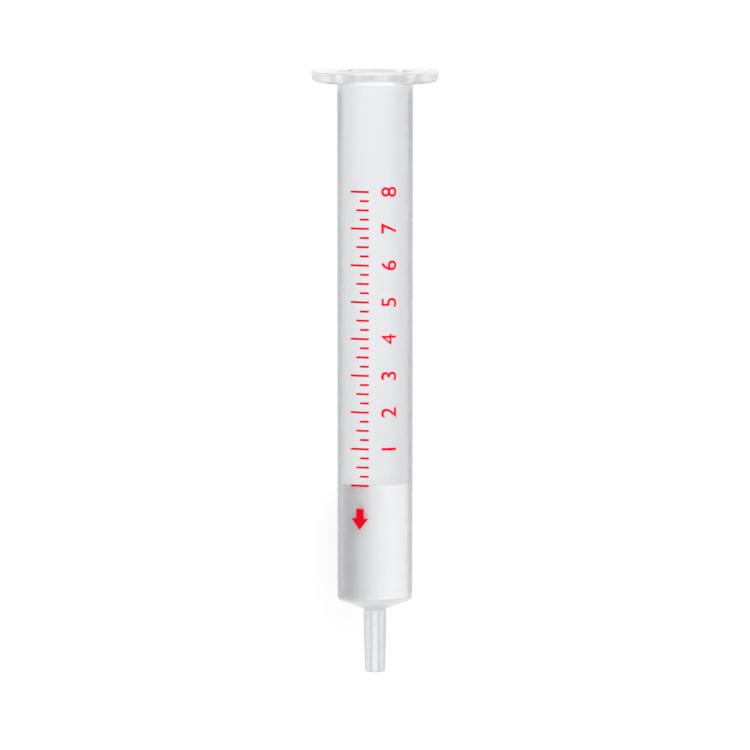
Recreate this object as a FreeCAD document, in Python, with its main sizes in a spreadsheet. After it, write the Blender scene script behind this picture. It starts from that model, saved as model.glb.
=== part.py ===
import FreeCAD, Part
import math
import os
import re
import Sketcher

# Liquid chromatography column for solid-phase extraction.
#
# One clear moulded barrel has a flange round its open mouth, and an outlet tip under its coned base.
# Inside, from the base up, lie a porous lower frit, a bed of packed white powder and a porous upper frit.
# A red volume scale and a flow arrow are printed on the outside.
#
# Every piece is drawn upright: Z runs along the column, from 0 at the end of the outlet tip to the top of
# the flange, and the print faces -Y. The column can't stand on its tip, so all pieces are then laid down
# together, print up, on one flat of the flange and on the rounded corner of the base.

# Driving dimensions: millimetres, degrees, millilitres or plain counts
SIZES = {
    # outlet tip: a standard taper that plugs into a female port
    "tip_length": 12.7,
    "tip_end_width": 3.95,
    "taper_length": 7.5,
    "taper_ratio": 0.06,
    "tip_root_width": 4.5,
    "tip_edge_round": 0.5,
    "tip_root_round": 0.5,
    "outlet_width": 2.0,
    "outlet_edge": 0.15,
    # base: a shallow cone between the tip and the barrel wall
    "base_angle": 20.0,
    "base_wall": 1.0,
    "base_corner_round": 0.9,
    # barrel: a little wider at the mouth than at the base, with a bore that narrows to grip the packing
    "barrel_length": 103.2,
    "base_width": 14.9,
    "mouth_width": 15.1,
    "barrel_wall": 0.95,
    "narrowing_gap": 0.3,
    "narrowing_length": 1.0,
    "mouth_lead": 0.4,
    # flange: a round plate with two flats, narrower underneath
    "flange_width": 25.5,
    "flange_flats": 20.0,
    "flange_thickness": 2.2,
    "rim_angle": 8.0,
    "rim_corner_round": 1.5,
    "rim_top_round": 0.25,
    "rim_bottom_round": 0.7,
    "flange_root_round": 0.6,
    # floor: a ledge and radial ribs that carry the lower frit clear of the cone
    "floor_ledge": 0.5,
    "rib_count": 8,
    "rib_width": 0.8,
    "rib_start": 1.7,
    "rib_root": 0.3,
    # packing
    "frit_thickness": 1.6,
    "frit_edge": 0.12,
    "bed_depth": 19.6,
    # print
    "ink_thickness": 0.03,
    "scale_volume": 8,
    "marks_per_unit": 4,
    "mark_stroke": 0.42,
    "mark_end": 1.2,
    "long_mark": 3.6,
    "middle_mark": 2.5,
    "short_mark": 1.8,
    "arrow_gap": 4.6,
    "arrow_head_width": 3.4,
    "arrow_head_length": 2.3,
    "arrow_stem_width": 1.5,
    "arrow_stem_length": 1.9,
}

CUBIC_MM_PER_UNIT = 1000        # the scale counts millilitres
CUT_MARGIN = 1.0                # how far a cutting outline reaches past what it cuts
NEAR = 1e-4                     # how close an edge must lie to the place where it is looked for

# Lengths that follow from the driving dimensions
FOLLOWING = {
    "taper_root_width": "tip_end_width + taper_ratio * taper_length",
    "corner_height": "tip_length + (base_width - tip_root_width) / 2 * tan(base_angle)",
    "flange_height": "corner_height + barrel_length",
    "total_height": "flange_height + flange_thickness",
    "rim_bottom_width": "flange_width - 2 * flange_thickness * tan(rim_angle)",
    "base_bore": "base_width - 2 * barrel_wall",
    "mouth_bore": "mouth_width - 2 * barrel_wall",
    "ledge_bore": "base_bore - 2 * floor_ledge",
    "cone_lift": "tip_length + base_wall / cos(base_angle)",
    "outlet_height": "cone_lift + (outlet_width - tip_root_width) / 2 * tan(base_angle)",
    "seat_height": "cone_lift + (ledge_bore - tip_root_width) / 2 * tan(base_angle)",
    "bed_bottom": "seat_height + frit_thickness",
    "bed_top": "bed_bottom + bed_depth",
    "packing_top": "bed_top + frit_thickness",
    "narrowing_bottom": "packing_top + narrowing_gap",
    "narrowing_top": "narrowing_bottom + narrowing_length",
    "wall_draft": "(mouth_width - base_width) / barrel_length",
    "unit_height": f"4 * {CUBIC_MM_PER_UNIT} / (pi * mouth_bore ^ 2)",
}


def formula(text):
    """The text with each size named by its cell, and each following length written out."""
    def written_out(match):
        word = match.group(0)
        if word in FOLLOWING:
            return "(" + formula(FOLLOWING[word]) + ")"
        return "Sizes." + word if word in SIZES else word
    return re.sub(r"[a-z][a-z_]*", written_out, text)


def value(text):
    """The number that a formula gives now."""
    return float(sheet.evalExpression(formula(text)))


def outside_at(height):
    """Formula for the outside width of the drafted barrel at a height."""
    return f"(base_width + ({height} - corner_height) * wall_draft)"


def make_sheet():
    """A sheet with one row for each driving dimension: its name, and its number in an aliased cell."""
    cells = doc.addObject("Spreadsheet::Sheet", "Sizes")
    for row, (name, number) in enumerate(SIZES.items(), 1):
        cells.set(f"A{row}", name)
        cells.set(f"B{row}", str(number))
        cells.setAlias(f"B{row}", name)
    doc.recompute()
    return cells


def draw_outline(sketch, points):
    """Closes straight lines through points, each a pair of formulas for its two coordinates."""
    corners = [FreeCAD.Vector(value(across), value(along), 0) for across, along in points]
    for number, corner in enumerate(corners):
        sketch.addGeometry(Part.LineSegment(corner, corners[(number + 1) % len(corners)]), False)
    for number, (across, along) in enumerate(points):
        before = (number - 1) % len(points)
        sketch.addConstraint(Sketcher.Constraint("Coincident", before, 2, number, 1))
        for direction, text in (("DistanceX", across), ("DistanceY", along)):
            place = sketch.addConstraint(Sketcher.Constraint(direction, -1, 1, number, 1, value(text)))
            sketch.setExpression(f"Constraints[{place}]", formula(text))


def make_body(label):
    body = doc.addObject("PartDesign::Body", label)
    body.Label = label
    return body


def origin_item(body, role):
    """One of the body's own origin planes or axes."""
    return next(item for item in body.Origin.OriginFeatures if item.Role == role)


def sketch_on(body, plane, name, points):
    """An outline on one of the body's own origin planes."""
    sketch = body.newObject("Sketcher::SketchObject", name)
    sketch.AttachmentSupport = [(origin_item(body, plane), "")]
    sketch.MapMode = "FlatFace"
    draw_outline(sketch, points)
    return sketch


def turned(body, name, points):
    """Turns a half section about the column's axis: each point is a radius and a height."""
    feature = body.newObject("PartDesign::Revolution", name)
    feature.Profile = sketch_on(body, "XZ_Plane", name + "_section", points)
    feature.ReferenceAxis = (feature.Profile[0], ["V_Axis"])
    feature.Angle = 360
    doc.recompute()
    return feature


def edges_where(feature, wanted):
    """Names of the edges on which wanted holds at every sampled point: its radius, and the point."""
    return [f"Edge{number}" for number, edge in enumerate(feature.Shape.Edges, 1)
            if all(wanted(math.hypot(point.x, point.y), point) for point in edge.discretize(5))]


def ring_at(feature, width, height):
    """Names of the round edges of one width and height about the column's axis."""
    radius, level = value(width) / 2, value(height)
    return edges_where(feature, lambda r, point: abs(r - radius) < NEAR and abs(point.z - level) < NEAR)


def dressed(kind, name, base, edges, property_name):
    """Dresses edges of a feature by the size that has the new feature's name."""
    feature = base.getParentGeoFeatureGroup().newObject(kind, name)
    feature.Base = (base, edges)
    feature.setExpression(property_name, formula(name))
    doc.recompute()
    return feature


def rounded(name, base, edges):
    return dressed("PartDesign::Fillet", name, base, edges, "Radius")


def chamfered(name, base, edges):
    return dressed("PartDesign::Chamfer", name, base, edges, "Size")


def make_barrel():
    """The moulded barrel: outlet tip, coned base, drafted wall and flange round the bore."""
    body = make_body("barrel")
    turned(body, "shell", [
        ("outlet_width / 2", "0"),
        ("tip_end_width / 2", "0"),
        ("taper_root_width / 2", "taper_length"),
        ("tip_root_width / 2", "tip_length"),
        ("base_width / 2", "corner_height"),
        ("mouth_width / 2", "flange_height"),
        ("rim_bottom_width / 2", "flange_height"),
        ("flange_width / 2", "total_height"),
        ("mouth_bore / 2", "total_height"),
        ("mouth_bore / 2", "narrowing_top"),
        ("base_bore / 2", "narrowing_bottom"),
        ("base_bore / 2", "seat_height"),
        ("ledge_bore / 2", "seat_height"),
        ("outlet_width / 2", "outlet_height"),
    ])
    cut_flats(body)
    round_edges(add_ribs(body))
    return body


def cut_flats(body):
    """Cuts one flat on the flange and mirrors it to the other side."""
    reach = f"flange_width / 2 + {CUT_MARGIN}"
    flat = body.newObject("PartDesign::Pocket", "flat")
    flat.Profile = sketch_on(body, "XY_Plane", "flat_outline", [
        (f"-({reach})", "flange_flats / 2"),
        (reach, "flange_flats / 2"),
        (reach, reach),
        (f"-({reach})", reach),
    ])
    flat.Type = "ThroughAll"
    flat.Reversed = True
    doc.recompute()
    flats = body.newObject("PartDesign::Mirrored", "flats")
    flats.Originals = [flat]
    flats.MirrorPlane = (origin_item(body, "XZ_Plane"), [""])
    body.Tip = flats
    doc.recompute()


def add_ribs(body):
    """One radial rib, rooted in the cone and level with the ledge, and its copies around the axis."""
    inner_root = "cone_lift + (rib_start - tip_root_width / 2) * tan(base_angle) - rib_root"
    outer_end = "base_bore / 2 + rib_root"
    rib = body.newObject("PartDesign::Pad", "rib")
    rib.Profile = sketch_on(body, "XZ_Plane", "rib_outline", [
        ("rib_start", inner_root),
        (outer_end, "seat_height - rib_root"),
        (outer_end, "seat_height"),
        ("rib_start", "seat_height"),
    ])
    rib.SideType = "Symmetric"
    rib.setExpression("Length", formula("rib_width"))
    doc.recompute()
    ribs = body.newObject("PartDesign::PolarPattern", "ribs")
    ribs.Originals = [rib]
    ribs.Axis = (origin_item(body, "Z_Axis"), [""])
    ribs.Angle = 360
    ribs.setExpression("Occurrences", formula("rib_count"))
    body.Tip = ribs
    doc.recompute()
    return ribs


def round_edges(base):
    """Rounds the outer edges, as the mould does, and chamfers both ends of the way through."""
    flat, top, bottom = value("flange_flats") / 2, value("total_height"), value("flange_height")

    def on_flat_end(r, point):
        return abs(abs(point.y) - flat) < NEAR and r > flat + NEAR and point.z > bottom - NEAR

    def spans_thickness(name):
        box = base.Shape.getElement(name).BoundBox
        return box.ZLength > value("flange_thickness") - NEAR

    corners = [name for name in edges_where(base, on_flat_end) if spans_thickness(name)]
    feature = rounded("rim_corner_round", base, corners)
    for name, level in (("rim_top_round", top), ("rim_bottom_round", bottom)):
        rim = edges_where(feature, lambda r, point: r > flat - NEAR and abs(point.z - level) < NEAR)
        feature = rounded(name, feature, rim)
    feature = rounded("flange_root_round", feature, ring_at(feature, "mouth_width", "flange_height"))
    feature = rounded("base_corner_round", feature, ring_at(feature, "base_width", "corner_height"))
    feature = rounded("tip_root_round", feature, ring_at(feature, "tip_root_width", "tip_length"))
    feature = rounded("tip_edge_round", feature, ring_at(feature, "tip_end_width", "0"))
    feature = chamfered("outlet_edge", feature, ring_at(feature, "outlet_width", "0"))
    chamfered("mouth_lead", feature, ring_at(feature, "mouth_bore", "total_height"))


def add_plug(body, bottom, top):
    """Fills the bore below its narrowing from one height to another."""
    return turned(body, "plug", [
        ("0", bottom),
        ("base_bore / 2", bottom),
        ("base_bore / 2", top),
        ("0", top),
    ])


def make_frit(label, bottom):
    """A porous disc, pressed into the bore, with its edges broken."""
    body = make_body(label)
    top = f"({bottom} + frit_thickness)"
    plug = add_plug(body, bottom, top)
    chamfered("frit_edge", plug, ring_at(plug, "base_bore", bottom) + ring_at(plug, "base_bore", top))
    return body


def make_bed():
    """The packed powder, held level between the two frits."""
    body = make_body("sorbent_bed")
    add_plug(body, "bed_bottom", "bed_top")
    return body


def ink_sleeve(bottom, top):
    """A thin sleeve on the outside of the barrel, from which the printed marks are cut."""
    cones = []
    for name, thickness in (("sleeve_outside", "ink_thickness"), ("sleeve_inside", "0")):
        cone = doc.addObject("Part::Cone", name)
        cone.setExpression("Radius1", formula(f"{outside_at(bottom)} / 2 + {thickness}"))
        cone.setExpression("Radius2", formula(f"{outside_at(top)} / 2 + {thickness}"))
        cone.setExpression("Height", formula(f"{top} - {bottom}"))
        cone.setExpression("Placement.Base.z", formula(bottom))
        cones.append(cone)
    sleeve = doc.addObject("Part::Cut", "ink_sleeve")
    sleeve.Base, sleeve.Tool = cones
    return sleeve


def mark_block(number):
    """A block that cuts one line of the scale: long at whole units, middling at halves, else short."""
    per_unit = SIZES["marks_per_unit"]
    length = "short_mark"
    if number % per_unit == 0:
        length = "long_mark"
    elif 2 * number % per_unit == 0:
        length = "middle_mark"
    level = f"packing_top + {number} / marks_per_unit * unit_height - mark_stroke / 2"
    block = doc.addObject("Part::Box", f"mark_{number}")
    block.setExpression("Length", formula(length))
    block.setExpression("Width", formula("base_width"))
    block.setExpression("Height", formula("mark_stroke"))
    block.setExpression("Placement.Base.x", formula(f"-(mark_end + {length})"))
    block.setExpression("Placement.Base.y", formula("-base_width"))
    block.setExpression("Placement.Base.z", formula(level))
    return block


def arrow_block(top, neck, point):
    """A block that cuts the flow arrow, in line with the long marks and pointing to the outlet."""
    middle = "-(mark_end + long_mark / 2)"
    outline = doc.addObject("Sketcher::SketchObject", "arrow_outline")
    outline.Placement = FreeCAD.Placement(FreeCAD.Vector(), FreeCAD.Rotation(FreeCAD.Vector(1, 0, 0), 90))
    draw_outline(outline, [
        (f"{middle} - arrow_stem_width / 2", top),
        (f"{middle} - arrow_stem_width / 2", neck),
        (f"{middle} - arrow_head_width / 2", neck),
        (middle, point),
        (f"{middle} + arrow_head_width / 2", neck),
        (f"{middle} + arrow_stem_width / 2", neck),
        (f"{middle} + arrow_stem_width / 2", top),
    ])
    block = doc.addObject("Part::Extrusion", "arrow")
    block.Base = outline
    block.DirMode = "Custom"
    block.Dir = FreeCAD.Vector(0, -1, 0)
    block.Solid = True
    block.setExpression("LengthFwd", formula("base_width"))
    return block


def make_print():
    """The red ink: the scale, which starts at the top of the packing, and the flow arrow under it."""
    arrow_top = "(packing_top - arrow_gap)"
    arrow_neck = f"({arrow_top} - arrow_stem_length)"
    arrow_point = f"({arrow_neck} - arrow_head_length)"
    marks = [mark_block(number) for number in range(SIZES["scale_volume"] * SIZES["marks_per_unit"] + 1)]
    blocks = doc.addObject("Part::Compound", "print_blocks")
    blocks.Links = marks + [arrow_block(arrow_top, arrow_neck, arrow_point)]
    film = doc.addObject("Part::Common", "printed_scale")
    film.Label = "printed_scale"
    film.Base = ink_sleeve(f"({arrow_point} - {CUT_MARGIN})",
                           f"(packing_top + scale_volume * unit_height + {CUT_MARGIN})")
    film.Tool = blocks
    doc.recompute()
    return film


def rest_placement():
    """Lays the upright column down, print up, on one flat of the flange and on the corner of the base.

    Both touch the ground on a rounded edge, so the ground is the line that touches two circles in the
    plane X = 0, and the tilt follows from their centres and radii. The origin comes to lie under the
    middle of the column, on the ground.
    """
    rim, corner = value("rim_bottom_round"), value("base_corner_round")
    rim_out, rim_up = value("flange_flats") / 2 - rim, value("flange_height") + rim
    corner_out = value("base_width") / 2 - corner
    corner_up = value("corner_height") + corner * math.tan(math.radians(90 - value("base_angle")) / 2)
    out, up = rim_out - corner_out, rim_up - corner_up
    tilt = math.atan2(out, up) + math.asin((rim - corner) / math.hypot(out, up))
    axis_lift = corner_out * math.cos(tilt) - corner_up * math.sin(tilt) + corner

    top_edge, tip_edge = value("rim_top_round"), value("tip_edge_round")
    top_out, top_up = value("flange_flats") / 2 - top_edge, value("total_height") - top_edge
    tip_out, tip_up = value("tip_end_width") / 2 - tip_edge, tip_edge
    mouth_reach = top_up * math.cos(tilt) + top_out * math.sin(tilt) + top_edge
    tip_reach = tip_up * math.cos(tilt) - tip_out * math.sin(tilt) - tip_edge
    laid_down = FreeCAD.Rotation(FreeCAD.Vector(1, 0, 0), math.degrees(tilt) - 90)
    return FreeCAD.Placement(FreeCAD.Vector(0, -(mouth_reach + tip_reach) / 2, axis_lift), laid_down)


doc = FreeCAD.newDocument("column")
sheet = make_sheet()
pieces = [
    make_barrel(),
    make_frit("lower_frit", "seat_height"),
    make_bed(),
    make_frit("upper_frit", "bed_top"),
    make_print(),
]
at_rest = rest_placement()
for piece in pieces:
    piece.Placement = at_rest
doc.recompute()

for item in doc.Objects:
    if "Invalid" in item.State or "Error" in item.State:
        raise RuntimeError(f"{item.Label} failed: {item.State}")
for piece in pieces:
    if piece.Shape.isNull() or not piece.Shape.isValid():
        raise RuntimeError(f"{piece.Label} has no valid shape")

os.makedirs("parts", exist_ok=True)
for piece in pieces:
    piece.Shape.exportStep(f"parts/{piece.Label}.step")
    print(piece.Label, len(piece.Shape.Solids), "solids,", round(piece.Shape.Volume, 2), "cubic mm")
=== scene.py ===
import math

import bmesh
import bpy
from mathutils import Matrix, Vector


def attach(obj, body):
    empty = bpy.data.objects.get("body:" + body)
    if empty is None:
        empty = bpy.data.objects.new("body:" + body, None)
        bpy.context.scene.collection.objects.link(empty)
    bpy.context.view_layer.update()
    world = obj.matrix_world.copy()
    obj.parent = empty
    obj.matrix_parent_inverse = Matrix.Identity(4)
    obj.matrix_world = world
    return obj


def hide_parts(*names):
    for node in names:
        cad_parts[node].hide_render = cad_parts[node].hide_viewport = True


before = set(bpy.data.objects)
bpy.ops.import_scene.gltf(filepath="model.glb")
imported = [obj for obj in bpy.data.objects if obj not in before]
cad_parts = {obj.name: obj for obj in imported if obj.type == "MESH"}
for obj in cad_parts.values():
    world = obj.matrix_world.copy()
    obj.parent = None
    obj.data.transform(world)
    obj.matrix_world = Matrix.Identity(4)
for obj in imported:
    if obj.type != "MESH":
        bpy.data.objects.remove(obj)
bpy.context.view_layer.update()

# Looks of a liquid chromatography column: a clear moulded barrel that holds white powder between two
# porous frits, with a volume scale printed in red on the outside.
#
# Every piece is modelled upright: Z runs along the column from the end of the outlet tip, and the print
# faces -Y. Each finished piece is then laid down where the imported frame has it. Sizes are in millimetres
# until MM turns them into Blender's metres.

MM = 0.001
NEAR = 1e-6                     # how close two corners must be to be merged, in metres
TOUCH = 0.001                   # how close to a named place a corner must be to be picked
TURN_STEPS = 216                # facets round the barrel
ROUND_STEPS = 6                 # facets along each rounded edge of the section
SMOOTH_ANGLE = 35               # degrees: edges sharper than this stay crisp

# Outlet tip and coned base
TIP_LENGTH = 12.7
TIP_END = 3.95 / 2
TAPER_LENGTH = 7.5
TAPER_RATIO = 0.06
TAPER_ROOT = TIP_END + TAPER_RATIO * TAPER_LENGTH / 2
TIP_ROOT = 4.5 / 2
TIP_ROUND = 0.5                 # at the end of the tip, and where it meets the cone
OUTLET = 1.0
OUTLET_EDGE = 0.15
BASE_ANGLE = math.radians(20)
BASE_SLOPE = math.tan(BASE_ANGLE)
BASE_WALL = 1.0
BASE_ROUND = 0.9

# Barrel
BASE_OUTSIDE = 14.9 / 2
MOUTH_OUTSIDE = 15.1 / 2
BASE_BORE = 13.0 / 2
MOUTH_BORE = 13.2 / 2
CORNER_HEIGHT = TIP_LENGTH + (BASE_OUTSIDE - TIP_ROOT) * BASE_SLOPE
FLANGE_HEIGHT = CORNER_HEIGHT + 103.2
NARROWING_GAP = 0.3             # from the packing up to the step between the two bores
NARROWING_LENGTH = 1.0

# Flange and mouth
FLANGE_THICKNESS = 2.2
TOTAL_HEIGHT = FLANGE_HEIGHT + FLANGE_THICKNESS
FLANGE_ROOT_ROUND = 0.6
RIM = 25.5 / 2
RIM_UNDER = RIM - FLANGE_THICKNESS * math.tan(math.radians(8))
FLAT = 10.0                     # from the axis to each of its two flats
RIM_ROUND_UNDER, RIM_STEPS_UNDER = 0.7, 7
RIM_ROUND_TOP, RIM_STEPS_TOP = 0.29, 5
CORNER_ACROSS, CORNER_DEEP = 0.6, 1.0   # how far from its four corners the outline is softened
SHELL_END_UNDER = MOUTH_OUTSIDE + 1.2   # radius at which the turned shell ends under the flange
SHELL_END_TOP = MOUTH_BORE + 0.8        # and on top of it
MOUTH_LEAD = 0.4
MOUTH_EDGE = 0.15

# Floor of the barrel
LEDGE = BASE_BORE - 0.5
LEDGE_EDGE = 0.06
CONE_LIFT = TIP_LENGTH + BASE_WALL / math.cos(BASE_ANGLE)
OUTLET_HEIGHT = CONE_LIFT + (OUTLET - TIP_ROOT) * BASE_SLOPE
OUTLET_FLOOR_EDGE = 0.12
SEAT = CONE_LIFT + (LEDGE - TIP_ROOT) * BASE_SLOPE
RIB_COUNT = 8
RIB_WIDTH = 0.8
RIB_START = 1.7
RIB_ROOT = 0.3                  # how far a rib reaches into the wall
RIB_DROP = 0.01                 # how far the ribs stay below the lower frit

# Packing
FRIT = 1.6
FRIT_EDGE = 0.05
BED_BOTTOM = SEAT + FRIT
BED_TOP = BED_BOTTOM + 19.6
BED_EDGE = 0.02
PACKING_TOP = BED_TOP + FRIT
AIR = 0.03                      # air film between the packing and the clear wall
PACKING = BASE_BORE - AIR

# Print
PRINT_RADIUS = (BASE_OUTSIDE + MOUTH_OUTSIDE) / 2
UNIT = 1000 / (math.pi * MOUTH_BORE ** 2)       # 1 ml, or 1000 cubic millimetres, along the bore
SCALE_VOLUME = 8
MARKS_PER_UNIT = 4
STROKE = 0.42                   # thickness of a mark
MARK_END = 1.2                  # where the marks end, left of the middle line
LONG_MARK = 3.6                 # at whole units
MIDDLE_MARK = 2.5               # at halves
SHORT_MARK = 1.8                # at quarters
MARK_ROUND, MARK_ROUND_STEPS = 0.07, 3
ARROW_GAP = 4.6                 # from the packing's top down to the arrow
STEM_WIDTH, STEM_LENGTH = 1.5, 1.9
HEAD_WIDTH, HEAD_LENGTH = 3.4, 2.3
DIGIT_HEIGHT = 3.3
DIGIT_SHARE = 0.73              # a digit's height, as a share of the font's size
DIGIT_PLACE = 2.95              # middle of the digits, right of the middle line
DIGIT_BOLD = 0.03
FOUR_BOLD = 0.005               # a heavier 4 would close up inside
INK = 0.03
INK_SUNK = 0.01
INK_STEP = 0.35                 # widest flat strip of ink on the round wall

# How the column lies: the end of its tip in the frame, and how far its own axis rises
LYING_PLACE = -60.08014
LYING_LIFT = 7.07224
LYING_TILT = math.radians(1.41446)

# Stage, in metres
FLOOR_WIDTH = 6
EYE = (0, 0.12152, 1.892)
AIM = (0, -0.00078, 0.0075)
LENS, SENSOR = 455.3, 36        # millimetres


# Working by hand: selecting, and moving between the modes

def start_piece(name, add, **settings):
    """Adds a primitive with nothing else selected, names it and opens it for editing."""
    if bpy.context.object and bpy.context.object.mode != "OBJECT":
        bpy.ops.object.mode_set(mode="OBJECT")
    bpy.ops.object.select_all(action="DESELECT")
    add(**settings)
    piece = bpy.context.object
    piece.name = name
    bpy.ops.object.mode_set(mode="EDIT")
    return piece


def take(piece):
    """Makes one piece the only selected one, out of edit mode."""
    if bpy.context.object and bpy.context.object.mode != "OBJECT":
        bpy.ops.object.mode_set(mode="OBJECT")
    bpy.ops.object.select_all(action="DESELECT")
    piece.select_set(True)
    bpy.context.view_layer.objects.active = piece


def pick(kind, wanted):
    """Selects the vertices or edges whose every corner is wanted: its radius, and its place."""
    bpy.ops.mesh.select_mode(type=kind)
    bpy.ops.mesh.select_all(action="DESELECT")
    mesh = bmesh.from_edit_mesh(bpy.context.object.data)
    for part in mesh.verts if kind == "VERT" else mesh.edges:
        corners = [part] if kind == "VERT" else part.verts
        if all(wanted(corner.co.xy.length / MM, corner.co / MM) for corner in corners):
            part.select_set(True)
    mesh.select_flush_mode()
    bmesh.update_edit_mesh(bpy.context.object.data)


def apply_modifier(piece, kind, **settings):
    """Adds a modifier to the piece and applies it."""
    take(piece)
    modifier = piece.modifiers.new(kind.lower(), kind)
    for name, setting in settings.items():
        setattr(modifier, name, setting)
    bpy.ops.object.modifier_apply(modifier=modifier.name)


def merge_doubles():
    """Merges all corners that lie in one place."""
    bpy.ops.mesh.select_all(action="SELECT")
    bpy.ops.mesh.remove_doubles(threshold=NEAR)


def close_up():
    """Merges what lies in one place, and turns all faces outwards."""
    merge_doubles()
    bpy.ops.mesh.normals_make_consistent(inside=False)


def smooth(piece):
    """Smooth faces with crisp edges, where large faces keep their own direction."""
    take(piece)
    bpy.ops.object.shade_smooth_by_angle(angle=math.radians(SMOOTH_ANGLE))
    apply_modifier(piece, "WEIGHTED_NORMAL", keep_sharp=True)


# Turned pieces

def rounded_line(corners):
    """Points of a line through corners, each a radius, a height and the size of its round."""
    line = []
    for number, (radius, height, bend) in enumerate(corners):
        here = Vector((radius, height))
        if not bend:
            line.append(here)
            continue
        back = (Vector(corners[number - 1][:2]) - here).normalized()
        onward = (Vector(corners[number + 1][:2]) - here).normalized()
        half = back.angle(onward) / 2
        centre = here + (back + onward).normalized() * bend / math.sin(half)
        arm = here + back * bend / math.tan(half) - centre
        sweep = math.copysign(math.pi - 2 * half, back.x * onward.y - back.y * onward.x)
        for step in range(ROUND_STEPS + 1):
            line.append(centre + Matrix.Rotation(-sweep * step / ROUND_STEPS, 2) @ arm)
    return line


def turned(name, corners):
    """Draws half a section by extruding one point from corner to corner, then spins it round the axis."""
    line = rounded_line(corners)
    piece = start_piece(name, bpy.ops.mesh.primitive_plane_add, size=MM)
    bpy.ops.mesh.merge(type="CENTER")
    bpy.ops.transform.translate(value=(line[0].x * MM, 0, line[0].y * MM))
    for here, there in zip(line, line[1:]):
        step = (there - here) * MM
        bpy.ops.mesh.extrude_region_move(TRANSFORM_OT_translate={"value": (step.x, 0, step.y)})
    bpy.ops.mesh.select_all(action="SELECT")
    bpy.ops.mesh.spin(steps=TURN_STEPS, angle=2 * math.pi, center=(0, 0, 0), axis=(0, 0, 1))
    merge_doubles()
    return piece


# The moulded barrel

def make_barrel():
    """Outlet tip, coned base, drafted wall and bore in one turned shell, with its flange and ribs."""
    narrowing = PACKING_TOP + NARROWING_GAP
    piece = turned("clear_barrel", [
        (SHELL_END_UNDER, FLANGE_HEIGHT, 0),
        (MOUTH_OUTSIDE, FLANGE_HEIGHT, FLANGE_ROOT_ROUND),
        (BASE_OUTSIDE, CORNER_HEIGHT, BASE_ROUND),
        (TIP_ROOT, TIP_LENGTH, TIP_ROUND),
        (TAPER_ROOT, TAPER_LENGTH, 0),
        (TIP_END, 0, TIP_ROUND),
        (OUTLET, 0, OUTLET_EDGE),
        (OUTLET, OUTLET_HEIGHT, OUTLET_FLOOR_EDGE),
        (LEDGE, SEAT, LEDGE_EDGE),
        (BASE_BORE, SEAT, LEDGE_EDGE),
        (BASE_BORE, narrowing, 0),
        (MOUTH_BORE, narrowing + NARROWING_LENGTH, 0),
        (MOUTH_BORE, TOTAL_HEIGHT - MOUTH_LEAD, MOUTH_EDGE),
        (MOUTH_BORE + MOUTH_LEAD, TOTAL_HEIGHT, MOUTH_EDGE),
        (SHELL_END_TOP, TOTAL_HEIGHT, 0),
    ])
    add_flange()
    close_up()
    add_ribs(piece)
    smooth(piece)
    return piece


def on_outline(radius, place, level):
    """Whether a corner lies on the flange's outline at a level."""
    return abs(place.z - level) < TOUCH and radius > FLAT - TOUCH


def add_flange():
    """The flange, bridged from the open ends of the turned shell, with its edges rounded."""
    add_outline(RIM_UNDER, FLANGE_HEIGHT)
    add_outline(RIM, TOTAL_HEIGHT)
    for level, inner in ((FLANGE_HEIGHT, SHELL_END_UNDER), (TOTAL_HEIGHT, SHELL_END_TOP)):
        pick("EDGE", lambda r, place: abs(place.z - level) < TOUCH and r > inner - TOUCH)
        bpy.ops.mesh.bridge_edge_loops()
    pick("EDGE", lambda r, place: on_outline(r, place, FLANGE_HEIGHT) or on_outline(r, place, TOTAL_HEIGHT))
    bpy.ops.mesh.bridge_edge_loops()
    for level, size, steps in ((FLANGE_HEIGHT, RIM_ROUND_UNDER, RIM_STEPS_UNDER),
                               (TOTAL_HEIGHT, RIM_ROUND_TOP, RIM_STEPS_TOP)):
        pick("EDGE", lambda r, place: on_outline(r, place, level))
        bpy.ops.mesh.bevel(offset=size * MM, segments=steps, affect="EDGES", clamp_overlap=False)


def add_outline(radius, level):
    """A line round the flange: a circle, pushed flat on two sides and softened at its four corners."""
    bpy.ops.mesh.select_all(action="DESELECT")
    bpy.ops.mesh.primitive_circle_add(vertices=TURN_STEPS, radius=radius * MM, location=(0, 0, level * MM),
                                      rotation=(0, 0, math.pi / 2))
    for side in (-1, 1):
        pick("VERT", lambda r, place: on_outline(r, place, level) and side * place.y > FLAT)
        bpy.ops.transform.resize(value=(1, 0, 1), center_override=(0, side * FLAT * MM, level * MM))
    end = math.sqrt(radius ** 2 - FLAT ** 2)
    pick("VERT", lambda r, place: on_outline(r, place, level)
         and abs(abs(place.x) - end) < CORNER_ACROSS and abs(place.y) > FLAT - CORNER_DEEP)
    bpy.ops.mesh.vertices_smooth(factor=0.5, repeat=2)


def add_ribs(piece):
    """Radial ribs on the coned floor, which carry the lower frit clear of the outlet."""
    length = BASE_BORE + RIB_ROOT - RIB_START
    top = SEAT - RIB_DROP
    rib = start_piece("floor_ribs", bpy.ops.mesh.primitive_cube_add, size=MM)
    bpy.ops.transform.resize(value=(length, RIB_WIDTH, RIB_ROOT))
    bpy.ops.transform.translate(value=((RIB_START + length / 2) * MM, 0, (top - RIB_ROOT / 2) * MM))
    pick("VERT", lambda r, place: place.x < RIB_START + TOUCH and place.z < top - TOUCH)
    bpy.ops.transform.translate(value=(0, 0, -length * BASE_SLOPE * MM))
    bpy.ops.mesh.select_all(action="SELECT")
    for number in range(1, RIB_COUNT):
        bpy.ops.mesh.duplicate()
        bpy.ops.transform.rotate(value=2 * math.pi / RIB_COUNT, orient_axis="Z", center_override=(0, 0, 0))
    apply_modifier(piece, "BOOLEAN", operation="UNION", object=rib, solver="EXACT")
    bpy.data.objects.remove(rib)


# The packing

def packed_disc(name, bottom, top, edge):
    """A disc just inside the bore, between two heights, with its edges broken."""
    piece = turned(name, [(0, bottom, 0), (PACKING, bottom, edge), (PACKING, top, edge), (0, top, 0)])
    close_up()
    smooth(piece)
    return piece


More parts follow.
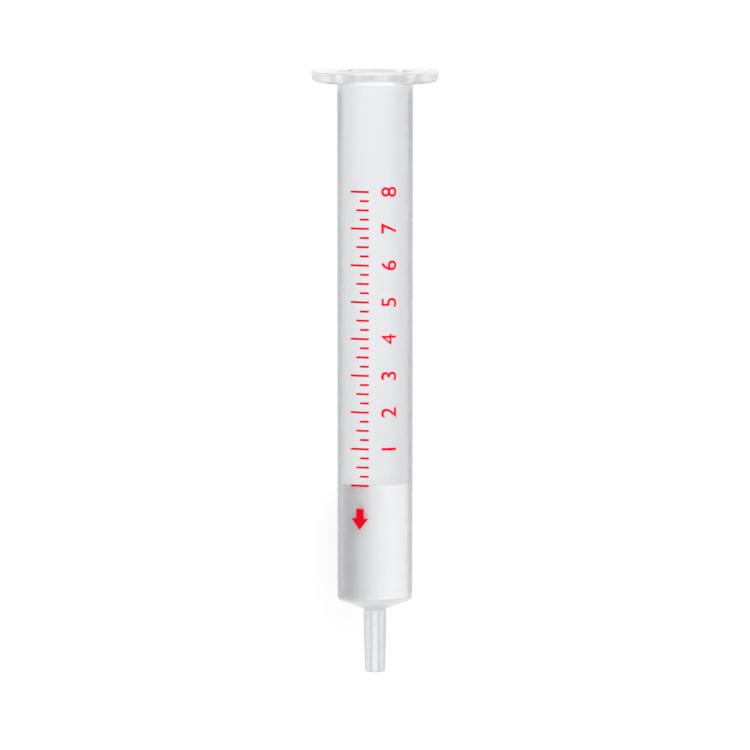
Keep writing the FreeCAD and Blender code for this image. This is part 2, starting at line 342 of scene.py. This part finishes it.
def make_frit(name, bottom):
    """A porous disc that holds the powder in."""
    return packed_disc(name, bottom, bottom + FRIT, FRIT_EDGE)


def make_bed():
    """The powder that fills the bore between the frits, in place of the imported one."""
    return packed_disc("powder_bed", BED_BOTTOM, BED_TOP, BED_EDGE)


# The print

def around(across):
    """How far round the wall a place lies that is seen from the front at a distance across."""
    return PRINT_RADIUS * math.asin(across / PRINT_RADIUS)


def add_patch(left, right, level, height):
    """A flat patch of ink in the plane y = 0, between two places seen from the front, about a level."""
    left, right = around(left), around(right)
    middle = ((left + right) / 2 * MM, 0, level * MM)
    bpy.ops.mesh.select_all(action="DESELECT")
    bpy.ops.mesh.primitive_plane_add(size=MM, location=middle, rotation=(math.pi / 2, 0, 0))
    bpy.ops.transform.resize(value=(right - left, 1, height), center_override=middle)


def draw_marks():
    """The lines of the scale, one for each quarter of a millilitre, with softened corners."""
    lengths = (LONG_MARK, SHORT_MARK, MIDDLE_MARK, SHORT_MARK)
    for number in range(SCALE_VOLUME * MARKS_PER_UNIT + 1):
        length = lengths[number % MARKS_PER_UNIT]
        add_patch(-MARK_END - length, -MARK_END, PACKING_TOP + number / MARKS_PER_UNIT * UNIT, STROKE)
    bpy.ops.mesh.select_all(action="SELECT")
    bpy.ops.mesh.bevel(offset=MARK_ROUND * MM, segments=MARK_ROUND_STEPS, affect="VERTICES")


def draw_arrow():
    """The flow arrow under the scale: a square stem, and a head that points to the outlet."""
    centre = -(MARK_END + LONG_MARK / 2)
    top = PACKING_TOP - ARROW_GAP
    neck = top - STEM_LENGTH
    point = neck - HEAD_LENGTH
    add_patch(centre - STEM_WIDTH / 2, centre + STEM_WIDTH / 2, (top + neck) / 2, STEM_LENGTH)
    add_patch(centre - HEAD_WIDTH / 2, centre + HEAD_WIDTH / 2, (neck + point) / 2, HEAD_LENGTH)
    pick("VERT", lambda r, place: place.z < point + TOUCH)
    bpy.ops.mesh.merge(type="CENTER")


def draw_numbers(piece):
    """The number of each whole millilitre, turned to be read up the column, joined to the flat marks."""
    texts = []
    for number in range(1, SCALE_VOLUME + 1):
        take(piece)
        bpy.ops.object.select_all(action="DESELECT")
        bpy.ops.object.text_add()
        text = bpy.context.object
        text.data.body = str(number)
        text.data.align_x, text.data.align_y = "CENTER", "CENTER"
        text.data.size = DIGIT_HEIGHT / DIGIT_SHARE * MM
        text.data.offset = (FOUR_BOLD if number == 4 else DIGIT_BOLD) * MM
        text.data.fill_mode = "FRONT"
        bpy.ops.object.convert(target="MESH")
        text = bpy.context.object
        text.location = (around(DIGIT_PLACE) * MM, 0, (PACKING_TOP + number * UNIT) * MM)
        text.rotation_euler = (math.pi / 2, -math.pi / 2, 0)
        bpy.ops.object.transform_apply()
        texts.append(text)
    take(piece)
    for text in texts:
        text.select_set(True)
    bpy.ops.object.join()


def make_print(barrel):
    """The red ink: drawn flat, cut in narrow strips, bent round the wall, seated on it and thickened."""
    piece = start_piece("scale_print", bpy.ops.mesh.primitive_plane_add, size=MM)
    bpy.ops.mesh.delete(type="VERT")
    draw_marks()
    draw_arrow()
    draw_numbers(piece)
    cut_strips(piece)
    bend_print(piece)
    apply_modifier(piece, "SHRINKWRAP", target=barrel, wrap_method="NEAREST_SURFACEPOINT",
                   wrap_mode="ON_SURFACE")
    bpy.ops.object.mode_set(mode="EDIT")
    merge_doubles()
    thickness = INK + INK_SUNK
    apply_modifier(piece, "SOLIDIFY", thickness=thickness * MM, offset=(INK - INK_SUNK) / thickness)
    smooth(piece)
    return piece


def cut_strips(piece):
    """Cuts the flat print into strips that are narrow enough to follow the wall."""
    take(piece)
    bpy.ops.object.mode_set(mode="EDIT")
    reach = around(MARK_END + LONG_MARK)
    for number in range(1, int(2 * reach / INK_STEP)):
        bpy.ops.mesh.select_all(action="SELECT")
        bpy.ops.mesh.bisect(plane_co=((-reach + number * INK_STEP) * MM, 0, 0), plane_no=(1, 0, 0))
    bpy.ops.object.mode_set(mode="OBJECT")


def bend_print(piece):
    """Bends the flat print round the barrel, so that its lengths are kept along the wall."""
    angle = piece.dimensions.x / MM / PRINT_RADIUS
    apply_modifier(piece, "SIMPLE_DEFORM", deform_method="BEND", deform_axis="Z", angle=angle)
    bpy.ops.object.mode_set(mode="EDIT")
    bpy.ops.mesh.select_all(action="SELECT")
    bpy.ops.transform.translate(value=(0, -PRINT_RADIUS * MM, 0))
    bpy.ops.object.mode_set(mode="OBJECT")


# Finishes

class Signal:
    """An output of a node, which can be used in sums."""

    def __init__(self, finish, socket):
        self.finish = finish
        self.socket = socket

    def sum_of(self, operation, first, second):
        """The node that works out one step of a sum."""
        return self.finish.node("ShaderNodeMath", {"operation": operation}, {0: first, 1: second})

    def __add__(self, other):
        return self.sum_of("ADD", self, other)

    def __radd__(self, other):
        return self.sum_of("ADD", other, self)

    def __sub__(self, other):
        return self.sum_of("SUBTRACT", self, other)

    def __rsub__(self, other):
        return self.sum_of("SUBTRACT", other, self)

    def __mul__(self, other):
        return self.sum_of("MULTIPLY", self, other)

    def __rmul__(self, other):
        return self.sum_of("MULTIPLY", other, self)


class Finish:
    """A material, or the node tree that it is given, and the one way in which nodes are made."""

    def __init__(self, name, tree=None):
        if tree is None:
            self.material = bpy.data.materials.new(name)
            self.material.use_nodes = True
            tree = self.material.node_tree
        self.tree = tree
        self.tree.nodes.clear()

    def node(self, kind, settings=None, inputs=None, output=0):
        """Makes a node with its settings, then gives its sockets their values or links."""
        made = self.tree.nodes.new(kind)
        for name, setting in (settings or {}).items():
            setattr(made, name, setting)
        for name, value in (inputs or {}).items():
            if isinstance(value, Signal):
                self.tree.links.new(value.socket, made.inputs[name])
            else:
                made.inputs[name].default_value = value
        return Signal(self, made.outputs[output]) if made.outputs else None

    def place(self, stretch=(1, 1, 1)):
        """The place on the column as it stands upright, in metres, with each direction stretched."""
        here = self.node("ShaderNodeTexCoord", output="Object")
        upright = self.node("ShaderNodeMapping", {"vector_type": "TEXTURE"}, {
            "Vector": here, "Location": (0, LYING_PLACE * MM, LYING_LIFT * MM),
            "Rotation": (LYING_TILT - math.pi / 2, 0, 0)})
        return self.node("ShaderNodeMapping", {}, {"Vector": upright, "Scale": stretch})

    def along(self, axis):
        """How far a place is along one axis of the upright column, in metres."""
        return self.node("ShaderNodeSeparateXYZ", {}, {"Vector": self.place()}, output=axis)

    def radius(self, counted=(1, 1, 0)):
        """How far from the column's axis a place is, in metres, along the directions counted."""
        return self.node("ShaderNodeVectorMath", {"operation": "LENGTH"}, {"Vector": self.place(counted)},
                         output="Value")

    def rise(self, signal, start, end):
        """From 0 at start to 1 at end, with soft shoulders."""
        return self.node("ShaderNodeMapRange", {"interpolation_type": "SMOOTHSTEP"},
                         {"Value": signal, "From Min": start, "From Max": end})

    def past(self, distance, start, end):
        """The same for a distance in metres, from start to end in millimetres."""
        return self.rise(distance, start * MM, end * MM)

    def noise(self, where, size, detail=2.0):
        """Soft patches about as wide as size, in millimetres, from 0 to 1."""
        return self.node("ShaderNodeTexNoise", {}, {"Vector": where, "Scale": 1 / (size * MM),
                                                    "Detail": detail})

    def grains(self, where, size):
        """Distance from the middle of packed grains of a size in millimetres."""
        return self.node("ShaderNodeTexVoronoi", {}, {"Vector": where, "Scale": 1 / (size * MM)})

    def range_of(self, signal, low, high):
        """The signal taken from low to high."""
        return low + signal * (high - low)

    def blend(self, share, first, second):
        """A colour between two, by share."""
        return self.node("ShaderNodeMix", {"data_type": "RGBA"}, {0: share, 6: first, 7: second}, output=2)

    def mix(self, share, first, second):
        """A shader between two, by share."""
        return self.node("ShaderNodeMixShader", {}, {0: share, 1: first, 2: second})

    def ray(self, kind):
        """1 where a ray of this kind looks at the surface, and 0 elsewhere."""
        return self.node("ShaderNodeLightPath", output=f"Is {kind} Ray")

    def bump(self, height, depth, strength):
        """A bumped normal, from a height of 0 to 1 and a depth in millimetres."""
        return self.node("ShaderNodeBump", {}, {"Height": height, "Distance": depth * MM,
                                                "Strength": strength})

    def principled(self, **inputs):
        """The all-round shader, its inputs named as on the node, with _ for each space."""
        return self.node("ShaderNodeBsdfPrincipled", {},
                         {name.replace("_", " "): value for name, value in inputs.items()})

    def show(self, surface):
        """Gives the material its surface, which makes it ready for use."""
        self.node("ShaderNodeOutputMaterial", {}, {"Surface": surface})
        return self.material


# How strong the shade and the milky cast of the clear plastic are, as shares of 1
WALL_SHADE = 0.58
SHADE_UNDER_FLANGE = 0.38       # more there
SHADE_BY_PACKING = 0.1          # less there
TIP_SHADE = 0.36
RIM_SHADE = 0.22
SHADE_AT_RIM_ENDS = 0.5         # more there
MOUTH_SHADE = 0.4
BASE_MILK = 0.5
MILK_IN_UPPER_BASE = 0.15       # more there
TOP_MILK = 0.4


def wall_shade(finish, height, facing):
    """Shade where the eye looks along the tube's wall: most under the flange, least by the packing."""
    side = finish.rise(facing, 0.42, 0.6) * finish.past(finish.radius(), BASE_BORE + 0.4, BASE_BORE + 0.7)
    tube = (finish.past(height, SEAT + 0.17, SEAT + 1.67)
            * finish.past(height, FLANGE_HEIGHT - 1.3, FLANGE_HEIGHT - 2.3))
    under_flange = finish.past(height, FLANGE_HEIGHT - 21.8, FLANGE_HEIGHT - 5.8)
    by_packing = finish.past(height, PACKING_TOP + 0.67, PACKING_TOP - 0.73)
    return side * tube * (WALL_SHADE + under_flange * SHADE_UNDER_FLANGE - by_packing * SHADE_BY_PACKING)


def tip_shade(finish, height, facing):
    """Shade in the outlet tip, except where it is seen square on."""
    tip = finish.past(height, TIP_LENGTH - 0.3, TIP_LENGTH - 0.9)
    return tip * finish.rise(facing, 0.07, 0.17) * TIP_SHADE


def rim_shade(finish, height):
    """Shade in the flange's outer edge, most at its two ends."""
    edge = (finish.past(height, FLANGE_HEIGHT + 0.1, FLANGE_HEIGHT + 0.5)
            * finish.past(height, TOTAL_HEIGHT - 0.2, TOTAL_HEIGHT - 0.4)
            * finish.past(finish.radius(), FLAT - 0.5, FLAT - 0.2))
    ends = finish.past(finish.radius(counted=(1, 0, 0)), RIM - 3.15, RIM - 0.35)
    return edge * (RIM_SHADE + ends * SHADE_AT_RIM_ENDS)


def mouth_shade(finish, height):
    """Shade round the mouth, on the side away from the print."""
    lip = (finish.past(height, TOTAL_HEIGHT - 1.2, TOTAL_HEIGHT - 0.6)
           * finish.past(finish.radius(), MOUTH_OUTSIDE - 0.15, MOUTH_OUTSIDE - 0.45))
    return lip * finish.past(finish.along("Y"), 0, 3) * MOUTH_SHADE


def milky_share(finish, height):
    """How much of the plastic looks milky: the thick base, and the flange's top face."""
    base = (finish.past(height, TIP_LENGTH - 1.1, TIP_LENGTH - 0.1)
            * finish.past(height, SEAT + 0.57, SEAT - 0.43))
    upper_base = finish.past(height, TIP_LENGTH + 0.7, TIP_LENGTH + 1.5)
    top_face = (finish.past(height, TOTAL_HEIGHT - 0.4, TOTAL_HEIGHT - 0.2)
                * finish.past(finish.radius(), MOUTH_OUTSIDE - 0.35, MOUTH_OUTSIDE + 0.05))
    return base * (BASE_MILK + upper_base * MILK_IN_UPPER_BASE) + top_face * TOP_MILK


def clear_plastic():
    """Clear polypropylene with a milky cast, faint flow lines along the tube, a soft gloss and painted
    shade.
    """
    finish = Finish("clear_polypropylene")
    clear, milky, solid = (0.94, 0.945, 0.96, 1), (0.95, 0.955, 0.965, 1), (0.97, 0.97, 0.975, 1)
    # Painted shade colours: aslant_shade darkens the tube where it is seen at a slant, shaded is laid in by
    # the shade masks
    aslant_shade, shaded = (0.70, 0.70, 0.72, 1), (0.40, 0.41, 0.43, 1)
    flow = finish.noise(finish.place(stretch=(1, 1, 0.06)), size=1.6, detail=3)
    cloud = finish.noise(finish.place(stretch=(1, 1, 0.3)), size=6)
    height = finish.along("Z")
    facing = finish.node("ShaderNodeLayerWeight", {}, {"Blend": 0.5}, output="Facing")
    below_flange = finish.past(height, FLANGE_HEIGHT - 0.4, FLANGE_HEIGHT - 0.9)
    # Painted shade: the plastic's own cloudy tone, darkened below the flange where the tube is seen aslant
    tone_and_aslant_shade = finish.blend(facing * below_flange, finish.blend(cloud, clear, milky), aslant_shade)
    shade = (wall_shade(finish, height, facing) + tip_shade(finish, height, facing)
             + rim_shade(finish, height) + mouth_shade(finish, height))
    thin = finish.principled(
        Base_Color=finish.blend(shade, tone_and_aslant_shade, shaded),
        Roughness=finish.range_of(flow, low=0.18, high=0.25),
        IOR=1.49,
        Transmission_Weight=1.0,
    )
    thick = finish.principled(Base_Color=solid, Roughness=finish.range_of(flow, low=0.3, high=0.4))
    plastic = finish.mix(milky_share(finish, height), thin, thick)
    lets_lamps_through = finish.node("ShaderNodeBsdfTransparent", {}, {"Color": (0.94, 0.94, 0.94, 1)})
    return finish.show(finish.mix(finish.ray("Shadow"), plastic, lets_lamps_through))


def packed_powder():
    """White powder: fine grains with faint lumps where it settled."""
    finish = Finish("packed_powder")
    place = finish.place()
    grains = finish.grains(place, size=0.12)
    lumps = finish.noise(place, size=1.4, detail=4)
    shade = finish.range_of(lumps, low=0.25, high=0.85) + grains * 0.15
    return finish.show(finish.principled(
        Base_Color=finish.blend(shade, (0.84, 0.84, 0.835, 1), (0.93, 0.93, 0.93, 1)),
        Roughness=0.95,
        Normal=finish.bump(grains * 0.6 + lumps * 0.4, depth=0.04, strength=0.5),
    ))


def porous_plastic():
    """Sintered white beads, with painted shade in the small pores between them."""
    finish = Finish("porous_polyethylene")
    place = finish.place()
    beads = finish.grains(place, size=0.2)
    patches = finish.noise(place, size=1.0, detail=3)
    # Painted shade: darker towards the edge of each bead, in the pores, more in some patches than others
    shade = 1 - beads * finish.range_of(patches, low=0.5, high=0.9)
    return finish.show(finish.principled(
        Base_Color=finish.blend(shade, (0.86, 0.86, 0.855, 1), (0.945, 0.945, 0.945, 1)),
        Roughness=0.7,
        Normal=finish.bump(1 - beads, depth=0.06, strength=0.6),
    ))


def red_ink():
    """Red print with a satin skin, a little thinner in places."""
    finish = Finish("red_ink")
    film = finish.noise(finish.place(), size=0.35, detail=4)
    return finish.show(finish.principled(
        Base_Color=finish.blend(film, (0.96, 0.0, 0.014, 1), (1.0, 0.0, 0.022, 1)),
        Roughness=finish.range_of(film, low=0.4, high=0.55),
        Specular_IOR_Level=0.05,
        Normal=finish.bump(film, depth=0.01, strength=0.3),
    ))


def white_sheet():
    """A white sheet that shows as white to the camera and in the clear plastic, and keeps a shadow."""
    finish = Finish("white_sheet")
    seen = finish.ray("Camera") + finish.ray("Glossy") + finish.ray("Transmission")
    paper = finish.noise(finish.place(), size=20)
    plain = finish.principled(Base_Color=(0.8, 0.8, 0.8, 1), Roughness=0.9)
    shown = finish.principled(
        Base_Color=finish.blend(paper, (0.26, 0.26, 0.26, 1), (0.28, 0.28, 0.28, 1)),
        Roughness=0.9,
        Specular_IOR_Level=0.0,
        Emission_Color=(1, 1, 1, 1),
        Emission_Strength=0.79,
    )
    return finish.show(finish.mix(seen, plain, shown))


# Putting the pieces in the frame

def lay_down(piece):
    """Lays an upright piece down on the flange's flat, print up, and applies it to the mesh."""
    take(piece)
    piece.location = (0, LYING_PLACE * MM, LYING_LIFT * MM)
    piece.rotation_euler = (LYING_TILT - math.pi / 2, 0, 0)
    bpy.ops.object.transform_apply()


def finish_piece(piece, material, slot, *nodes):
    """Dresses a piece, lays it down and lets it stand for its nodes."""
    piece.data.materials.clear()
    piece.data.materials.append(material)
    lay_down(piece)
    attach(piece, "root")
    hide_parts(*nodes)


# The stage

def add_floor():
    """A large plain sheet under the column."""
    floor = start_piece("white_sheet", bpy.ops.mesh.primitive_plane_add, size=FLOOR_WIDTH)
    bpy.ops.object.mode_set(mode="OBJECT")
    floor.data.materials.append(white_sheet())


def add_lamp(name, place, size, energy):
    """A square soft light that looks at the column."""
    bpy.ops.object.light_add(type="AREA", location=place)
    lamp = bpy.context.object
    lamp.name = name
    lamp.data.shape = "SQUARE"
    lamp.data.size = size
    lamp.data.energy = energy
    lamp.rotation_euler = Vector(place).to_track_quat("Z", "Y").to_euler()


def light_studio():
    """The pale room, a large soft light beyond the flange and a weak one beyond the tip."""
    world = bpy.data.worlds.new("studio")
    bpy.context.scene.world = world
    world.use_nodes = True
    room = Finish("studio", world.node_tree)
    room.node("ShaderNodeOutputWorld", {}, {"Surface": room.node(
        "ShaderNodeBackground", {}, {"Color": (0.58, 0.58, 0.59, 1), "Strength": 1.0})})
    add_lamp("soft_box", place=(1.25, 1.5, 1.35), size=2.5, energy=40)
    add_lamp("fill_light", place=(-0.2, -1.6, 1.0), size=1.6, energy=10)


def add_camera():
    """The camera, which looks down on the lying column."""
    bpy.ops.object.camera_add(location=EYE)
    camera = bpy.context.object
    camera.name = "view_from_above"
    sight = Vector(AIM) - camera.location
    camera.rotation_euler = (math.atan2(sight.y, -sight.z), 0, 0)
    camera.data.lens = LENS
    camera.data.sensor_width = SENSOR
    camera.data.clip_end = 20
    bpy.context.scene.camera = camera
    bpy.context.scene.view_settings.view_transform = "Standard"


barrel = make_barrel()
ink = make_print(barrel)
finish_piece(barrel, clear_plastic(), "clear_plastic", "barrel")
finish_piece(ink, red_ink(), "red_ink", "printed_scale")
porous = porous_plastic()
finish_piece(make_frit("lower_frit_disc", SEAT), porous, "porous_plastic", "lower_frit")
finish_piece(make_frit("upper_frit_disc", BED_TOP), porous, "porous_plastic", "upper_frit")
finish_piece(make_bed(), packed_powder(), "packed_powder", "sorbent_bed")
add_floor()
light_studio()
add_camera()
